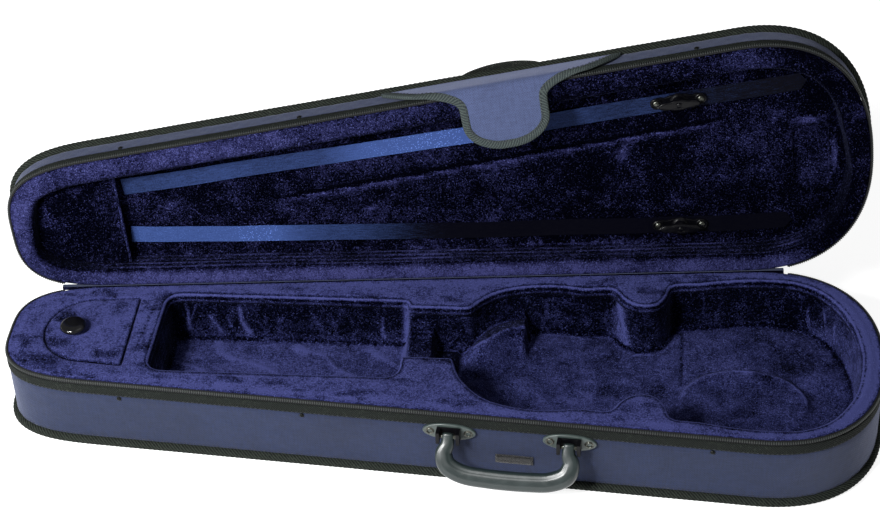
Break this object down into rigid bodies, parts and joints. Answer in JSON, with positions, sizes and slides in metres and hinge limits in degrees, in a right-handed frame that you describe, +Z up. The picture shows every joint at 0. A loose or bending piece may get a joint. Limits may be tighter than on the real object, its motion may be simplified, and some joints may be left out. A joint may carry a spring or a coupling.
{
  "type": "violin case",
  "caption": "Dart-shaped zipped violin case standing open, with velvet-lined cavities, hinged lid, carrying handle, closing flap and bow holders.",
  "frame": {"origin": "centre of the underside of the case's base, where it stands on a table", "axes": "+X to the wide end, along the case; +Y to the hinge side, away from the handle; +Z up"},
  "size_m": [0.8238, 0.3203, 0.314],
  "materials": {
    "case_shell": "light moulded foam board, unfinished",
    "blue_canvas": "woven canvas, matt",
    "flap_canvas": "woven canvas, matt, lighter",
    "herringbone_binding": "herringbone tape, matt",
    "zipper_tape": "woven tape with moulded teeth",
    "zipper_metal": "black enamel, satin",
    "blue_velvet": "crushed plush with a sheen",
    "blue_satin": "satin ribbon",
    "black_plastic": "glossy",
    "steel_fastener": "dulled nickel",
    "handle_plastic": "moulded, satin",
    "hook_and_loop": "hook and loop pile"
  },
  "bodies": {
    "base": {"base_shell": "case_shell", "base_bottom_cover": "blue_canvas", "base_bottom_piping": "herringbone_binding", "base_side_cover": "blue_canvas", "base_binding": "herringbone_binding", "base_zipper_chain": "zipper_tape", "base_insert": "blue_velvet", "neck_rest": "blue_velvet", "upper_bout_pad_back": "blue_velvet", "upper_bout_pad_front": "blue_velvet", "lower_bout_pad": "blue_velvet", "handle_bracket_left": "handle_plastic", "handle_bracket_right": "handle_plastic", "handle_clevis_left": "handle_plastic", "handle_clevis_right": "handle_plastic", "handle_rivet_left_1": "steel_fastener", "handle_rivet_left_2": "steel_fastener", "handle_rivet_right_1": "steel_fastener", "handle_rivet_right_2": "steel_fastener", "hook_patch": "hook_and_loop", "base_stud_1": "steel_fastener", "base_stud_2": "steel_fastener", "base_stud_3": "steel_fastener", "zipper_slider_narrow": "zipper_metal", "zipper_slider_wide": "zipper_metal", "hinge_canvas": "blue_canvas"},
    "lid": {"lid_shell": "case_shell", "lid_top_cover": "blue_canvas", "lid_side_cover": "blue_canvas", "lid_top_piping": "herringbone_binding", "lid_binding": "herringbone_binding", "lid_zipper_chain": "zipper_tape", "lid_lining": "blue_velvet", "bow_tip_pocket": "blue_velvet", "ribbon_upper": "blue_satin", "ribbon_lower": "blue_satin", "spinner_base_upper": "black_plastic", "spinner_base_lower": "black_plastic", "spinner_screw_upper_1": "steel_fastener", "spinner_screw_upper_2": "steel_fastener", "spinner_screw_lower_1": "steel_fastener", "spinner_screw_lower_2": "steel_fastener", "grab_strap": "herringbone_binding", "grab_strap_rivet_1": "steel_fastener", "grab_strap_rivet_2": "steel_fastener", "lid_stud_1": "steel_fastener", "lid_stud_2": "steel_fastener", "lid_stud_3": "steel_fastener"},
    "flap_root": {"flap_root": "flap_canvas"},
    "flap_tongue": {"flap_tongue": "flap_canvas", "loop_patch": "hook_and_loop"},
    "handle": {"handle_grip": "handle_plastic"},
    "spinner_upper": {"spinner_paddle_upper": "black_plastic"},
    "spinner_lower": {"spinner_paddle_lower": "black_plastic"},
    "accessory_lid": {"accessory_lid": "blue_velvet", "accessory_knob": "black_plastic"},
    "pull_tab_narrow": {"pull_tab_narrow": "zipper_metal"},
    "pull_tab_wide": {"pull_tab_wide": "zipper_metal"}
  },
  "joints": [
    {"name": "lid_hinge", "type": "hinge", "parent": "base", "child": "lid", "pos_m": [0, 0.0937, 0.078], "axis": [0.9967, 0.0816, 0], "range_deg": [0, 96.66], "deforming": ["hinge_canvas"]},
    {"name": "flap_lift", "type": "hinge", "parent": "lid", "child": "flap_root", "pos_m": [0.04933, 0.14863, 0.27441], "axis": [-0.9818, -0.0993, -0.1616], "range_deg": [0, 80]},
    {"name": "flap_droop", "type": "hinge", "parent": "flap_root", "child": "flap_tongue", "pos_m": [0.05074, 0.12179, 0.28232], "axis": [0.9818, 0.0993, 0.1616], "range_deg": [-66.66, 0]},
    {"name": "spinner_upper_turn", "type": "hinge", "parent": "lid", "child": "spinner_upper", "pos_m": [0.21233, 0.15581, 0.24592], "axis": [-0.0811, 0.9899, -0.116], "range_deg": [-90, 90]},
    {"name": "spinner_lower_turn", "type": "hinge", "parent": "lid", "child": "spinner_lower", "pos_m": [0.21835, 0.14094, 0.11476], "axis": [-0.0811, 0.9899, -0.116], "range_deg": [-90, 90]},
    {"name": "handle_swing", "type": "hinge", "parent": "base", "child": "handle", "pos_m": [0.06933, -0.1088, 0.057], "axis": [-0.9967, 0.0816, 0], "range_deg": [0, 75]},
    {"name": "accessory_lid_hinge", "type": "hinge", "parent": "base", "child": "accessory_lid", "pos_m": [-0.2892, 0.003, 0.0777], "axis": [0, -1, 0], "range_deg": [-100, 0]},
    {"name": "pull_tab_narrow_swing", "type": "hinge", "parent": "base", "child": "pull_tab_narrow", "pos_m": [-0.36001, 0.06795, 0.069], "axis": [0.9672, 0.2542, 0], "range_deg": [0, 95]},
    {"name": "pull_tab_wide_swing", "type": "hinge", "parent": "base", "child": "pull_tab_wide", "pos_m": [0.31509, 0.12324, 0.069], "axis": [0.9941, -0.1081, 0], "range_deg": [0, 95]}
  ],
  "couplings": [
    {"joint": "flap_droop", "follows": "lid_hinge", "ratio": -0.68963}
  ]
}
